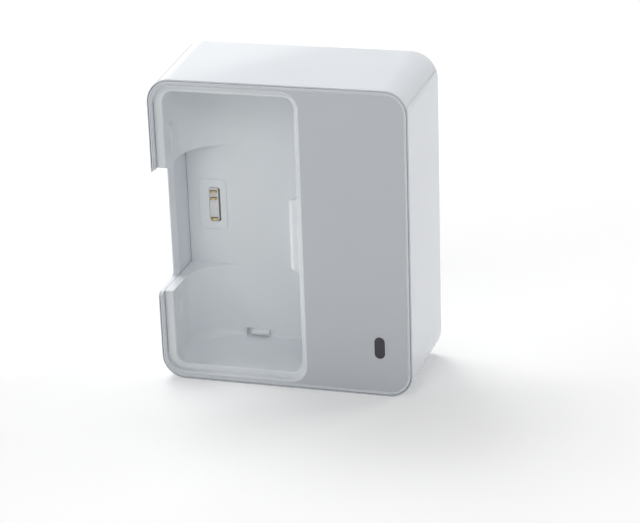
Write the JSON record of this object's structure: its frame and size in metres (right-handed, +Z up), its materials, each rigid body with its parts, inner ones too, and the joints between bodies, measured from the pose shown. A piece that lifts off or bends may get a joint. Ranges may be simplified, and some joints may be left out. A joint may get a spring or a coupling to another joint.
{
  "type": "battery pack wall charger",
  "caption": "White plug-in wall charger with an open upright bay for a two-cell battery pack, a finger notch in its left side, and a small indicator window.",
  "frame": {"origin": "centre of the base, which the case stands on, half way between the front rim and the back face", "axes": "+X to the right as seen from the front, +Y to the back, along the plug blades, +Z up"},
  "size_m": [0.0762, 0.05, 0.092],
  "materials": {
    "white_plastic": "fine satin gloss",
    "liner_plastic": "satin",
    "smoked_window": "polished smoked",
    "connector_plastic": "moulded",
    "gold_contact": "gold plated",
    "circuit_board": "solder resist",
    "lead_insulation": "smooth",
    "plug_blade": "nickel plated",
    "screw_steel": "zinc plated",
    "ferrite": "sintered",
    "bobbin_plastic": "moulded",
    "winding_tape": "polyester tape",
    "capacitor_sleeve": "shrunk sleeve",
    "fuse_body": "enamel",
    "black_package": "moulded",
    "disc_coating": "dipped",
    "lamp_resin": "diffused resin"
  },
  "bodies": {
    "root": {"housing": "white_plastic", "front_cover": "white_plastic", "bay_liner": "liner_plastic", "rear_plate": "white_plastic", "indicator_lens": "smoked_window", "contact_block": "connector_plastic", "contact_positive": "gold_contact", "contact_sense": "gold_contact", "contact_negative": "gold_contact", "contact_board": "circuit_board", "contact_leads": "lead_insulation", "blade_line": "plug_blade", "blade_neutral": "plug_blade", "blade_leads": "lead_insulation", "case_screws": "screw_steel", "main_board": "circuit_board", "board_screws": "screw_steel", "transformer_core": "ferrite", "transformer_bobbin": "bobbin_plastic", "transformer_winding": "winding_tape", "input_capacitors": "capacitor_sleeve", "output_capacitor": "capacitor_sleeve", "filter_choke": "ferrite", "fuse": "fuse_body", "bridge_rectifier": "black_package", "safety_capacitor": "disc_coating", "optocoupler": "black_package", "output_diode": "black_package", "power_controller": "black_package", "charge_controller": "black_package", "status_lamp": "lamp_resin", "lamp_spacer": "bobbin_plastic"}
  },
  "joints": []
}
